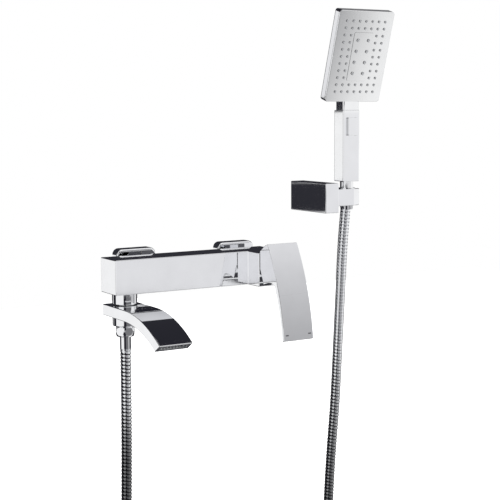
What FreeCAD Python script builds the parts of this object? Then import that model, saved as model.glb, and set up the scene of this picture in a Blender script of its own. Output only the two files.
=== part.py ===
import FreeCAD, Part
import math
import os

from FreeCAD import Vector

# Wall-mounted bath mixer with a waterfall spout, a single lever, a hose, a wall bracket and a hand shower.
# Millimetres. +X is to the right, -Y comes out of the wall, +Z is up.
# The origin is midway between the two wall threads, on the face of the wall.

# Standard threads and water connections
thread_half_r = 10.48             # outside of a G 1/2 thread
thread_three_quarter_r = 13.22    # outside of a G 3/4 thread
thread_gap = 0.12                 # radial room of a thread in its nut
waterway_r = 7.5                  # bore of the wall connections
inlet_spacing = 150.0             # between the hot and the cold connection
union_offset = 10.0               # how far the eccentric unions lift the mixer above the wall threads
wall_thread_length = 18.0
union_length = 24.0               # from the wall to the end of the G 3/4 thread
union_step_length = 6.0           # the slanted part of the union
gasket_thickness = 2.0
tail_flange_r = 12.6
tail_flange_thickness = 3.0
tail_neck_r = 9.3
port_depth = 12.0                 # how deep a tail is screwed into the body
union_nut_flats = 30.0
union_nut_clearance = 1.4         # from the nut to the escutcheon and to the body
nut_chamfer = 1.2
valve_gap = 0.1
valve_ring_r = 4.2                # opening of a check valve's ring
plunger_r = 3.9
plunger_tip_r = 2.0
plunger_start = 2.0               # behind the tail's flange
plunger_length = 7.0
spoke_width = 1.4
spoke_length = 2.0

# Escutcheons
escutcheon_size = 55.6
escutcheon_depth = 15.0
escutcheon_wall = 1.4
escutcheon_corner_r = 8.0
escutcheon_edge_r = 3.0

# Body bar and cartridge housing
bar_size = 44.0
bar_left_x = -135.0
bar_back_y = -35.0
body_edge_r = 0.9
lever_x = 77.9                    # axis of the cartridge and the lever
housing_width = 45.0
housing_protrusion = 27.4         # in front of the bar
channel_r = 5.0
hot_channel_drop = 8.0            # channels in the bar, below and above its middle
mixed_channel_rise = 14.5

# Cartridge
cartridge_r = 17.5
cartridge_length = 22.0           # from the lever's pivot to the cartridge's seat
cartridge_wall = 2.4
cartridge_gap = 0.12
nut_thread_r = 19.0
cartridge_nut_length = 12.0
nut_bore_r = 13.6
cartridge_base = 3.0
fixed_disc_thickness = 3.5
fixed_disc_r = 14.9
moving_disc_thickness = 4.0
moving_disc_r = 10.8
mixing_chamber_r = 6.4
mixing_chamber_rise = 1.5
mixing_chamber_depth = 1.4
carrier_r = 12.6
inlet_port_r = 2.2
inlet_port_spread = 4.6
inlet_port_drop = 3.2
outlet_port_r = 2.4
outlet_port_rise = 5.0
stem_width = 8.0
stem_tail_width = 6.0
tail_pocket_depth = 1.7
tail_reach = 1.0                  # how far the stem's tail goes into the moving disc
seal_thickness = 0.8
stem_pin_r = 1.5
pivot_depth = 14.4                # lever pivot behind the front of the housing
running_gap = 0.1
cartridge_lip = 2.0               # thickness of the shell around its mouth
mouth_step = 1.4                  # from the carrier to the shell's mouth
collar_setback = 1.0              # cartridge collar behind the front of its nut
stem_slot_gap = 0.15
stem_slot_room = 4.6              # room above and below the stem as it tilts
stem_length = 34.0                # in front of the pivot
stem_back = 5.0                   # thick part of the stem behind the pivot
pin_gap = 0.05
spanner_hole_r = 1.6
spanner_hole_reach = 16.6
spanner_hole_depth = 4.0

# Lever
lever_width = 44.6
hub_gap = 2.2                     # hub to housing at full flow
lever_height_above = 35.2         # blade above the body's middle
lever_drop = 84.8                 # blade tip below the body's middle
lever_top_reach = 20.8            # blade's top edge in front of the housing
lever_tip_reach = 59.3            # blade's tip in front of the housing
blade_bulge = 6.5                 # height of the blade's curve over its chord
blade_tip_thickness = 4.4
blade_middle_thickness = 5.4
blade_root_thickness = 6.6
hub_top = 24.9
hub_bottom = 18.1
hub_chamfer_depth = 11.1
hub_chamfer_height = 7.6
hub_relief_deg = 23.7             # lets the lever go down without touching the housing
hub_relief_top = 1.3
hub_under_length = 11.0
hub_under_rise = 3.3
throat_length = 7.9               # flat part between the hub and the back of the blade
throat_rise = 0.5
throat_bulge = 2.6
lever_edge_r = 0.6
grub_r = 2.5
grub_length = 7.0
grub_key_flats = 2.5
grub_key_depth = 2.5
grub_setback = 4.5                # behind the front end of the stem
grub_gap = 0.02
screw_cap_gap = 1.0               # from the grub screw to its cap
screw_cap_length = 4.0
stem_end_gap = 0.4
mark_length = 4.4
mark_height = 1.6
mark_depth = 0.8
mark_inset = 5.4
mark_rise = 6.9                   # above the blade's tip

# Spout and the outlet column that it swivels on
spout_width = 44.0
spout_inset = 22.0                # column axis from the left end of the bar
neck_length = 15.0                # body to spout
spout_thickness = 14.0
spout_back = 19.0                 # spout behind the column's axis
spout_flat = 43.0                 # flat top in front of the axis
spout_curve_r = 172.0
lip_top_deg = 34.2
lip_under_deg = 32.0
lip_cut_deg = 2.0                 # how far the hollow is carried past the lip
spout_wall = 3.2
spout_edge_r = 0.8
hollow_start = 8.0                # in front of the column's axis
comb_gap = 0.1
comb_wall = 1.1
comb_rim = 1.0
comb_start_deg = 26.0
comb_top_deg = 30.0
comb_under_deg = 29.8
comb_slot_start_deg = 25.0
comb_slot_end_deg = 31.0
column_port_r = 2.6
column_port_spread = 5.0
column_port_length = 20.0
column_r = 12.35
column_gap = 0.1
sleeve_r = 15.8
washer_thickness = 0.5
washer_inset = 0.5
collar_edge_r = 1.0
collar_length = 12.0
outlet_thread_length = 10.5
ring_section_r = 1.0
ring_groove_gap = 0.02
shower_valve_length = 10.0
shower_valve_rise = 4.0
straightener_slots = 9

# Hose and its ends
hose_r = 6.9
hose_bore_r = 4.7
hose_ribs = 200
rib_depth = 0.9
hose_nut_flats = 23.0
hose_nut_length = 13.6
hose_nut_chamfer = 1.8
hose_nut_edge_r = 1.2
hose_nut_gap = 0.3                # from the collar under the spout
hose_nut_shoulder = 1.8
hose_nut_hole_r = 6.6
hose_tail_flange = 0.9
hose_tail_gap = 0.15
hose_tail_bore_r = 3.3
hose_tail_reach = 12.0            # into the hose below the ferrule
hose_end_run = 92.0               # straight hose below the ferrule
ferrule_r = 7.25
ferrule_length = 16.0
cone_nut_r = 11.9
cone_nut_end_r = 8.3
cone_nut_length = 29.6
hose_in_nut = 17.0                # hose hidden in the cone nut
hose_slip = 0.45                  # room between the hose and the nut's bore
hose_floor_gap = 1.0              # from the hose's end to the washer above it
hose_washer_thickness = 2.0
hose_washer_bore_r = 4.2
cone_nut_straight = 4.0
cone_nut_rise = 0.8               # above the clip
cone_nut_mouth = 5.0
cone_nut_mouth_gap = 1.0
handset_collar_length = 9.15      # between the cone nut and the handle

# Wall bracket and clip
bracket_left_x = 173.6
bracket_width = 21.7
bracket_height = 40.2
bracket_depth = 85.9
bracket_base = 66.1               # bracket's underside above the body's middle
bracket_wall = 1.8
bracket_edge_r = 1.0
bracket_grub_r = 2.0
bracket_grub_reach = 6.0          # in front of the wall
bracket_grub_recess = 0.4
bracket_grub_key_r = 0.9
bracket_grub_key_depth = 2.0
wall_screw_spacing = 20.0
wall_screw_hole_r = 2.3           # for two 4 mm screws
plate_gap = 0.2
plate_thickness = 3.0
plate_foot_depth = 10.0
plate_foot_width = 10.0
plate_foot_height = 3.4
clip_half_depth = 17.0
clip_reach = 26.2                 # from the clip's near end to the hand shower's axis
clip_edge_r = 0.8
clip_height = 22.7
clip_gap = 0.5
clip_slot = 15.2
clip_seat_gap = 0.3
pivot_r = 3.0
pivot_head_flats = 10.0
pivot_head_height = 4.0
pivot_screw_depth = 8.5           # into the clip
spring_washer_r = 5.2
spring_washer_thickness = 3.0
friction_washer_r = 8.5

# Hand shower
handset_y = -66.0
handle_width = 27.2
handle_depth = 22.2
handle_length = 97.2
handle_wall = 1.8
handle_corner_r = 1.6
handle_edge_r = 0.8
handle_end_wall = 3.0
handle_neck_r = 9.1
neck_width = 26.0
neck_depth = 18.6
neck_front_gap = 0.5              # neck's front behind the handle's
neck_corner_r = 2.0
neck_into_head = 15.0             # above the head's lower edge
head_width = 88.8
head_height = 124.4
head_thickness = 14.2
head_tilt_deg = 16.9
head_gap = 11.3                   # head's lower front edge above the handle
head_face_forward = 12.3          # the same edge in front of the handle's axis
head_corner_r = 3.4
head_back_r = 3.0
head_wall = 1.8
face_rim = 3.0
face_thickness = 2.6
face_edge_r = 0.6
face_groove = 0.5                 # between the face plate and the shell
face_spigot = 2.4                 # face plate inside the shell
face_gap = 0.1
panel_rise = 0.4                  # centre panel in front of the face plate
panel_corner_r = 2.0
panel_gap = 0.15
nozzle_r = 1.6
nozzle_bore_r = 0.5
nozzle_gap = 0.05
nozzle_height = 1.2
centre_nozzle_r = 2.1
mat_thickness = 1.0
mat_inset = 0.5
nozzle_taper = 0.8
nozzle_recess = 0.6                # ring around each nozzle
nozzle_recess_depth = 0.5
nozzle_pitch_x = 10.4
nozzle_pitch_z = 9.65
centre_pitch_x = 17.0
centre_pitch_z = 15.1
panel_width = 31.6
panel_height = 66.0
button_width = 14.4
button_height = 24.4
button_proud = 3.6
button_base = 62.7                # button's lower edge above the handle's underside
button_gap = 0.25
button_flange = 1.2
button_flange_thickness = 1.1
button_corner_r = 1.0
button_edge_r = 0.7
spring_r = 3.2
spring_bore_r = 2.2
spring_seat_thickness = 2.4
spring_seat_height = 12.0
spring_seat_width = 8.8
water_tube_r = 5.0
water_tube_wall = 1.1
water_tube_gap = 0.1
water_tube_end = 2.5              # above the handle
handset_thread_gap = 0.2
water_tube_back = 2.4             # behind the handle's axis, to leave room for the button
handset_bore_r = 5.5

# Places that follow from the sizes above
mid_z = union_offset
bar_front_y = bar_back_y - bar_size
bar_mid_y = bar_back_y - bar_size / 2
housing_front_y = bar_front_y - housing_protrusion
housing_left_x = lever_x - housing_width / 2
housing_right_x = lever_x + housing_width / 2
inlets_x = (-inlet_spacing / 2, inlet_spacing / 2)
column_x = bar_left_x + spout_inset
column_y = bar_mid_y
body_under_z = mid_z - bar_size / 2
spout_top_z = body_under_z - neck_length
spout_under_z = spout_top_z - spout_thickness
collar_top_z = spout_under_z - washer_thickness
collar_under_z = collar_top_z - collar_length
pivot_y = housing_front_y + pivot_depth
stem_front_y = pivot_y - stem_length
bracket_right_x = bracket_left_x + bracket_width
clip_mid_z = mid_z + bracket_base + bracket_height / 2
clip_left_x = bracket_right_x + clip_gap
handset_x = clip_left_x + clip_reach
cone_nut_top_z = clip_mid_z + clip_height / 2 + cone_nut_rise
handle_under_z = cone_nut_top_z + handset_collar_length
handle_top_z = handle_under_z + handle_length
head_base_z = handle_top_z + head_gap
cone_nut_under_z = cone_nut_top_z - cone_nut_length
hose_nut_top_z = collar_under_z - hose_nut_gap
hose_nut_under_z = hose_nut_top_z - hose_nut_length
ferrule_under_z = hose_nut_under_z - ferrule_length
hose_top_z = cone_nut_under_z + hose_in_nut

# The hose, from the hand shower down, round the loop that hangs below, and up to the mixer
hose_route = [
    (handset_x, handset_y, hose_top_z),
    (handset_x, handset_y, cone_nut_under_z - 6.7),
    (216.7, -65.8, 26.0), (213.4, -65.0, -38.0), (209.8, -63.9, -110.0), (205.6, -62.9, -190.0),
    (199.2, -62.2, -258.0), (195.2, -61.7, -322.0), (192.6, -61.0, -402.0), (186.8, -60.2, -486.0),
    (162.4, -59.4, -566.0), (104.0, -58.6, -627.0), (38.0, -58.0, -645.0), (-28.0, -57.6, -627.0),
    (-88.0, -57.4, -568.0), (-113.2, -57.6, -484.0), (-117.0, -58.0, -392.0), (-114.6, -57.4, -286.0),
    (column_x, column_y, ferrule_under_z - hose_end_run),
    (column_x, column_y, ferrule_under_z),
]

parts = {}


def block(x0, x1, y0, y1, z0, z1):
    """A box between two corners."""
    low = Vector(min(x0, x1), min(y0, y1), min(z0, z1))
    return Part.makeBox(abs(x1 - x0), abs(y1 - y0), abs(z1 - z0), low)


def rod(radius, start, end):
    """A cylinder from one point to another."""
    start = Vector(*start)
    way = Vector(*end) - start
    return Part.makeCylinder(radius, way.Length, start, way)


def cone(r_start, r_end, start, end):
    start = Vector(*start)
    way = Vector(*end) - start
    return Part.makeCone(r_start, r_end, way.Length, start, way)


def ring(outer_r, inner_r, start, end):
    return rod(outer_r, start, end).cut(rod(inner_r, start, end))


def hexagon_nut(flats, start, end, chamfer=nut_chamfer, edge_r=0.0):
    """A hexagonal bar along one row axis, with its corners turned off at both ends."""
    start = Vector(*start)
    way = Vector(*end) - start
    corner_r = flats / math.sqrt(3)
    side = Vector(1, 0, 0)
    across = way.cross(side).normalize()
    corners = []
    for step in range(7):
        angle = math.radians(60 * step)
        corners.append(start + side * corner_r * math.cos(angle) + across * corner_r * math.sin(angle))
    bar = Part.Face(Part.makePolygon(corners)).extrude(way)
    unit = Vector(way).normalize()
    if edge_r > 0:
        bar = bar.makeFillet(edge_r, edges_along(bar, unit))
    low_cone = Part.makeCone(corner_r - chamfer, corner_r - chamfer + way.Length, way.Length, start, unit)
    high_cone = Part.makeCone(corner_r - chamfer + way.Length, corner_r - chamfer, way.Length, start, unit)
    return bar.common(low_cone).common(high_cone)


def edges_along(shape, axis, keep=lambda middle: True):
    """The straight edges of a shape that run along an axis, where keep says so."""
    found = []
    for edge in shape.Edges:
        if not isinstance(edge.Curve, Part.Line):
            continue
        way = (edge.Vertexes[-1].Point - edge.Vertexes[0].Point).normalize()
        if abs(abs(way.dot(axis)) - 1) < 1e-6 and keep(edge.CenterOfMass):
            found.append(edge)
    return found


def rounded_block(x0, x1, y0, y1, z0, z1, axis, radius):
    """A box whose four edges along an axis are rounded."""
    solid = block(x0, x1, y0, y1, z0, z1)
    return solid.makeFillet(radius, edges_along(solid, axis))


def along_x(outline, x0, x1):
    """A closed outline of edges in a plane across X, carried from x0 to x1."""
    face = Part.Face(Part.Wire(outline))
    face.translate(Vector(x0, 0, 0))
    return face.extrude(Vector(x1 - x0, 0, 0))


def line(a, b):
    return Part.LineSegment(Vector(0, *a), Vector(0, *b)).toShape()


def curve(a, through, b):
    return Part.Arc(Vector(0, *a), Vector(0, *through), Vector(0, *b)).toShape()


def across_x(middle, offset):
    return middle - offset, middle + offset


def make_unions():
    """Eccentric unions, escutcheons, gaskets, tails with their valves, and union nuts, hot on the left."""
    union_end_y = -union_length
    flange_front_y = union_end_y - gasket_thickness
    flange_back_y = flange_front_y - tail_flange_thickness
    port_end_y = bar_back_y - port_depth
    nut_start_y = -escutcheon_depth - union_nut_clearance
    nut_end_y = bar_back_y + union_nut_clearance
    for side, x in zip(("hot", "cold"), inlets_x):
        step_wires = []
        bore_wires = []
        for y, z, r in ((0, 0, thread_half_r), (-union_step_length, mid_z, thread_three_quarter_r)):
            centre = Vector(x, y, z)
            step_wires.append(Part.Wire(Part.makeCircle(r, centre, Vector(0, 1, 0))))
            bore_wires.append(Part.Wire(Part.makeCircle(waterway_r, centre, Vector(0, 1, 0))))
        union = Part.makeLoft(step_wires, True, True)
        union = union.fuse(rod(thread_half_r, (x, 0, 0), (x, wall_thread_length, 0)))
        union = union.fuse(rod(thread_three_quarter_r, (x, -union_step_length, mid_z), (x, union_end_y, mid_z)))
        union = union.cut(Part.makeLoft(bore_wires, True, True))
        union = union.cut(rod(waterway_r, (x, 0, 0), (x, wall_thread_length, 0)))
        union = union.cut(rod(waterway_r, (x, -union_step_length, mid_z), (x, union_end_y, mid_z)))
        parts["eccentric_union_" + side] = union.removeSplitter()

        low_z, high_z = across_x(mid_z, escutcheon_size / 2)
        left_x, right_x = across_x(x, escutcheon_size / 2)
        cup = rounded_block(left_x, right_x, -escutcheon_depth, 0, low_z, high_z, Vector(0, 1, 0),
                            escutcheon_corner_r)
        rim = [e for e in cup.Edges if abs(e.CenterOfMass.y + escutcheon_depth) < 1e-6]
        cup = cup.makeFillet(escutcheon_edge_r, rim)
        inner_r = escutcheon_corner_r - escutcheon_wall
        w = escutcheon_wall
        hollow = rounded_block(left_x + w, right_x - w, -escutcheon_depth + w, 0, low_z + w, high_z - w,
                               Vector(0, 1, 0), inner_r)
        hollow_rim = [e for e in hollow.Edges if abs(e.CenterOfMass.y + escutcheon_depth - w) < 1e-6]
        hollow = hollow.makeFillet(escutcheon_edge_r - w, hollow_rim)
        hole = rod(thread_three_quarter_r + thread_gap, (x, -escutcheon_depth, mid_z), (x, 0, mid_z))
        parts["escutcheon_" + side] = cup.cut(hollow).cut(hole)

        parts["union_gasket_" + side] = ring(
            tail_flange_r - 0.3, waterway_r, (x, union_end_y, mid_z), (x, flange_front_y, mid_z))

        tail = rod(tail_flange_r, (x, flange_front_y, mid_z), (x, flange_back_y, mid_z))
        tail = tail.fuse(rod(tail_neck_r, (x, flange_back_y, mid_z), (x, bar_back_y, mid_z)))
        tail = tail.fuse(rod(thread_half_r - thread_gap, (x, bar_back_y, mid_z), (x, port_end_y + 1, mid_z)))
        tail = tail.cut(rod(waterway_r, (x, flange_front_y, mid_z), (x, port_end_y + 1, mid_z)))
        parts["inlet_tail_" + side] = tail.removeSplitter()

        valve = ring(waterway_r - valve_gap, valve_ring_r, (x, flange_back_y, mid_z),
                     (x, port_end_y + 2, mid_z))
        plunger_y = flange_back_y - plunger_start
        plunger = cone(plunger_r, plunger_tip_r, (x, plunger_y, mid_z), (x, plunger_y - plunger_length, mid_z))
        spoke_reach = valve_ring_r + 0.4
        spokes = block(x - spoke_reach, x + spoke_reach, plunger_y - 1, plunger_y - 1 - spoke_length,
                       mid_z - spoke_width / 2, mid_z + spoke_width / 2)
        parts["check_valve_" + side] = valve.fuse(plunger).fuse(spokes).removeSplitter()

        nut = hexagon_nut(union_nut_flats, (x, nut_start_y, mid_z), (x, nut_end_y, mid_z))
        nut = nut.cut(rod(thread_three_quarter_r + thread_gap, (x, nut_start_y, mid_z),
                          (x, flange_back_y - 0.2, mid_z)))
        nut = nut.cut(rod(tail_neck_r + 0.3, (x, nut_start_y, mid_z), (x, nut_end_y, mid_z)))
        parts["union_nut_" + side] = nut


def make_body():
    """The brass body: a square bar with the cartridge housing, and the channels cast inside it."""
    low_z, high_z = across_x(mid_z, bar_size / 2)
    bar = block(bar_left_x, housing_right_x, bar_front_y, bar_back_y, low_z, high_z)
    housing = block(housing_left_x, housing_right_x, housing_front_y, bar_back_y, low_z, high_z)
    body = bar.fuse(housing).removeSplitter()
    body = body.makeFillet(body_edge_r, body.Edges)

    seat_y = housing_front_y + pivot_depth + cartridge_length
    body = body.cut(rod(nut_thread_r + thread_gap, (lever_x, housing_front_y, mid_z),
                        (lever_x, pivot_y, mid_z)))
    body = body.cut(rod(cartridge_r + cartridge_gap, (lever_x, pivot_y, mid_z), (lever_x, seat_y, mid_z)))

    port_end_y = bar_back_y - port_depth
    for x in inlets_x:
        body = body.cut(rod(thread_half_r, (x, bar_back_y, mid_z), (x, port_end_y, mid_z)))

    hot_x, cold_x = inlets_x
    hot_port_x, cold_port_x = across_x(lever_x, inlet_port_spread)
    inlet_port_z = mid_z - inlet_port_drop
    outlet_port_z = mid_z + outlet_port_rise
    hot_z = mid_z - hot_channel_drop
    mixed_z = mid_z + mixed_channel_rise
    cold_y = port_end_y + inlet_port_r
    hot_end_x = hot_port_x + inlet_port_r
    body = body.cut(rod(waterway_r, (hot_x, bar_back_y, mid_z), (hot_x, bar_mid_y, mid_z)))
    body = body.cut(rod(channel_r, (hot_x, bar_mid_y, hot_z), (hot_end_x, bar_mid_y, hot_z)))
    body = body.cut(rod(inlet_port_r, (hot_port_x, bar_mid_y, inlet_port_z),
                        (hot_port_x, seat_y, inlet_port_z)))
    body = body.cut(rod(inlet_port_r, (cold_x, cold_y, inlet_port_z), (cold_port_x, cold_y, inlet_port_z)))
    body = body.cut(rod(inlet_port_r, (cold_port_x, cold_y, inlet_port_z), (cold_port_x, seat_y, inlet_port_z)))
    body = body.cut(rod(outlet_port_r, (lever_x, seat_y, outlet_port_z), (lever_x, bar_mid_y, outlet_port_z)))
    body = body.cut(rod(outlet_port_r, (lever_x, bar_mid_y, outlet_port_z), (lever_x, bar_mid_y, mixed_z)))
    body = body.cut(rod(channel_r, (lever_x, bar_mid_y, mixed_z), (column_x, column_y, mixed_z)))
    body = body.cut(rod(waterway_r, (column_x, column_y, mixed_z), (column_x, column_y, low_z)))
    body = body.cut(rod(thread_three_quarter_r, (column_x, column_y, low_z),
                        (column_x, column_y, low_z + port_depth)))
    parts["mixer_body"] = body


def make_cartridge():
    """The ceramic cartridge: housing, seals, two discs, carrier, pin, stem, and the nut that holds it."""
    seat_y = pivot_y + cartridge_length
    base_y = seat_y - cartridge_base
    fixed_front_y = base_y - fixed_disc_thickness
    moving_back_y = fixed_front_y - running_gap
    moving_front_y = moving_back_y - moving_disc_thickness
    carrier_back_y = moving_front_y - running_gap
    nut_front_y = pivot_y - cartridge_nut_length
    collar_front_y = nut_front_y + collar_setback
    lip_y = pivot_y + cartridge_lip
    mouth_r = carrier_r - mouth_step
    middle = (lever_x, mid_z)

    def at(y, dx=0.0, dz=0.0):
        return (middle[0] + dx, y, middle[1] + dz)

    ports = [
        (-inlet_port_spread, -inlet_port_drop, inlet_port_r),
        (inlet_port_spread, -inlet_port_drop, inlet_port_r),
        (0.0, outlet_port_rise, outlet_port_r),
    ]
    shell = rod(cartridge_r, at(seat_y - seal_thickness), at(pivot_y))
    shell = shell.fuse(rod(nut_bore_r - 0.3, at(pivot_y), at(collar_front_y)))
    shell = shell.cut(rod(cartridge_r - cartridge_wall, at(base_y), at(lip_y)))
    shell = shell.cut(rod(mouth_r + running_gap, at(base_y), at(collar_front_y)))
    for dx, dz, r in ports:
        shell = shell.cut(rod(r, at(seat_y, dx, dz), at(base_y, dx, dz)))
    parts["cartridge_housing"] = shell.removeSplitter()

    seals = []
    for dx, dz, r in ports:
        seals.append(ring(r + 1.1, r, at(seat_y, dx, dz), at(seat_y - seal_thickness, dx, dz)))
    parts["cartridge_seals"] = Part.makeCompound(seals)

    fixed = rod(fixed_disc_r, at(base_y), at(fixed_front_y))
    for dx, dz, r in ports:
        fixed = fixed.cut(rod(r, at(base_y, dx, dz), at(fixed_front_y, dx, dz)))
    parts["ceramic_disc_fixed"] = fixed

    moving = rod(moving_disc_r, at(moving_back_y), at(moving_front_y))
    chamber = rod(mixing_chamber_r, at(moving_back_y, 0, mixing_chamber_rise),
                  at(moving_back_y - mixing_chamber_depth, 0, mixing_chamber_rise))
    pocket_x, pocket_z = stem_tail_width / 2 + 0.3, stem_tail_width / 2 + 0.6
    pocket = block(lever_x - pocket_x, lever_x + pocket_x, moving_front_y + tail_pocket_depth, moving_front_y,
                   mid_z - pocket_z, mid_z + pocket_z)
    parts["ceramic_disc_moving"] = moving.cut(chamber).cut(pocket)

    step_y = lip_y + running_gap
    mouth_y = collar_front_y + collar_setback
    carrier = rod(carrier_r, at(carrier_back_y), at(step_y))
    carrier = carrier.fuse(rod(mouth_r, at(step_y), at(mouth_y)))
    slot_x = stem_width / 2 + stem_slot_gap
    slot_z = stem_width / 2 + stem_slot_room
    carrier = carrier.cut(block(lever_x - slot_x, lever_x + slot_x, carrier_back_y, mouth_y,
                                mid_z - slot_z, mid_z + slot_z))
    pin_half = mouth_r - 0.6
    pin_ends = ((lever_x - pin_half, pivot_y, mid_z), (lever_x + pin_half, pivot_y, mid_z))
    carrier = carrier.cut(rod(stem_pin_r, *pin_ends))
    parts["cartridge_carrier"] = carrier
    parts["stem_pin"] = rod(stem_pin_r - 0.02, *pin_ends)

    stem = block(lever_x - stem_width / 2, lever_x + stem_width / 2, pivot_y + stem_back, stem_front_y,
                 mid_z - stem_width / 2, mid_z + stem_width / 2)
    half_tail = stem_tail_width / 2
    stem = stem.fuse(block(lever_x - half_tail, lever_x + half_tail, pivot_y + stem_back,
                           moving_front_y + tail_reach,
                           mid_z - half_tail, mid_z + half_tail))
    stem = stem.cut(rod(stem_pin_r + pin_gap, *pin_ends))
    parts["lever_stem"] = stem.removeSplitter()

    nut = ring(nut_thread_r, nut_bore_r, at(pivot_y - 0.1), at(nut_front_y))
    for quarter in range(4):
        angle = math.radians(45 + 90 * quarter)
        dx, dz = spanner_hole_reach * math.cos(angle), spanner_hole_reach * math.sin(angle)
        hole_end_y = nut_front_y + spanner_hole_depth
        nut = nut.cut(rod(spanner_hole_r, at(nut_front_y, dx, dz), at(hole_end_y, dx, dz)))
    parts["cartridge_nut"] = nut


def lever_outline():
    """The lever seen from the side: blade, hub, the chamfer at its top and the relief at its lower back."""
    back_y = housing_front_y - hub_gap
    top = (housing_front_y - lever_top_reach, mid_z + lever_height_above)
    tip = (housing_front_y - lever_tip_reach, mid_z - lever_drop)
    chord = math.hypot(tip[0] - top[0], tip[1] - top[1])
    way = ((tip[0] - top[0]) / chord, (tip[1] - top[1]) / chord)
    out = (way[1], -way[0])

    def on_front(share, inward=0.0):
        bulge = 4 * share * (1 - share) * blade_bulge - inward
        return (top[0] + way[0] * chord * share + out[0] * bulge,
                top[1] + way[1] * chord * share + out[1] * bulge)

    tip_back = on_front(1.0, blade_tip_thickness)
    blade_middle = on_front(0.73, blade_middle_thickness)
    throat_end = on_front(0.5, blade_root_thickness)
    hub_back_top = (back_y, mid_z + hub_top)
    chamfer_end = (back_y - hub_chamfer_depth, mid_z + hub_top + hub_chamfer_height)
    relief_top = (back_y, mid_z + hub_relief_top)
    relief_depth = math.tan(math.radians(hub_relief_deg)) * (hub_relief_top + hub_bottom)
    relief_low = (back_y - relief_depth, mid_z - hub_bottom)
    under_front = (relief_low[0] - hub_under_length, relief_low[1] + hub_under_rise)
    throat_start = (under_front[0] - throat_length, under_front[1] + throat_rise)
    turn_y, turn_z = throat_end[0] - throat_start[0], throat_end[1] - throat_start[1]
    turn = math.hypot(turn_y, turn_z)
    throat = ((throat_start[0] + throat_end[0]) / 2 + turn_z / turn * throat_bulge,
              (throat_start[1] + throat_end[1]) / 2 - turn_y / turn * throat_bulge)
    edges = [
        line(hub_back_top, chamfer_end),
        line(chamfer_end, top),
        curve(top, on_front(0.5), tip),
        line(tip, tip_back),
        curve(tip_back, blade_middle, throat_end),
        curve(throat_end, throat, throat_start),
        line(throat_start, under_front),
        line(under_front, relief_low),
        line(relief_low, relief_top),
        line(relief_top, hub_back_top),
    ]
    return edges, on_front, way, chord


def make_lever():
    """The lever with its grub screw, the screw's cap, and the hot and cold marks at the foot of the blade."""
    edges, on_front, way, chord = lever_outline()
    left_x, right_x = across_x(lever_x, lever_width / 2)
    lever = along_x(edges, left_x, right_x)
    lever = lever.makeFillet(lever_edge_r, lever.Edges)
    socket = stem_width / 2 + running_gap
    lever = lever.cut(block(lever_x - socket, lever_x + socket, housing_front_y, stem_front_y - stem_end_gap,
                            mid_z - socket, mid_z + socket))
    screw_y = stem_front_y + grub_setback
    screw_top_z = mid_z - stem_width / 2
    lever = lever.cut(rod(grub_r, (lever_x, screw_y, screw_top_z), (lever_x, screw_y, mid_z - hub_bottom - 4)))
    screw_low_z = screw_top_z - grub_length
    screw = rod(grub_r - grub_gap, (lever_x, screw_y, screw_top_z), (lever_x, screw_y, screw_low_z))
    key = hexagon_nut(grub_key_flats, (lever_x, screw_y, screw_low_z),
                      (lever_x, screw_y, screw_low_z + grub_key_depth), chamfer=0.01)
    parts["lever_grub_screw"] = screw.cut(key)
    cap_top_z = screw_low_z - screw_cap_gap
    cap = rod(grub_r - grub_gap, (lever_x, screw_y, cap_top_z),
              (lever_x, screw_y, cap_top_z - screw_cap_length))
    parts["lever_screw_cap"] = cap

    centre = on_front(1.0 - mark_rise / chord)
    for side, x in (("hot", left_x + mark_inset), ("cold", right_x - mark_inset)):
        pocket = Part.makeBox(mark_length, mark_depth * 2, mark_height,
                              Vector(-mark_length / 2, -mark_depth, -mark_height / 2))
        lean = math.degrees(math.atan2(way[0], -way[1]))
        pocket.rotate(Vector(0, 0, 0), Vector(1, 0, 0), lean)
        pocket.translate(Vector(x, centre[0], centre[1]))
        parts["lever_mark_" + side] = lever.common(pocket)
        lever = lever.cut(pocket)
    parts["lever_handle"] = lever


def spout_outline(inset, start_deg, top_deg, under_deg, start_y=None):
    """The spout seen from the side, drawn in by an inset, between two angles or from a place behind."""
    centre_y = column_y - spout_flat
    centre_z = spout_top_z - spout_curve_r
    top_r = spout_curve_r - inset
    under_r = spout_curve_r - spout_thickness + inset

    def polar(radius, degrees):
        angle = math.radians(degrees)
        return (centre_y - radius * math.sin(angle), centre_z + radius * math.cos(angle))

    curved = [
        curve(polar(top_r, start_deg), polar(top_r, (start_deg + top_deg) / 2), polar(top_r, top_deg)),
        line(polar(top_r, top_deg), polar(under_r, under_deg)),
        curve(polar(under_r, under_deg), polar(under_r, (start_deg + under_deg) / 2),
              polar(under_r, start_deg)),
    ]
    if start_y is None:
        return curved + [line(polar(under_r, start_deg), polar(top_r, start_deg))]
    top_z = centre_z + top_r
    under_z = centre_z + under_r
    return [line((start_y, top_z), (centre_y, top_z))] + curved + [
        line((centre_y, under_z), (start_y, under_z)),
        line((start_y, under_z), (start_y, top_z)),
    ]


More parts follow.
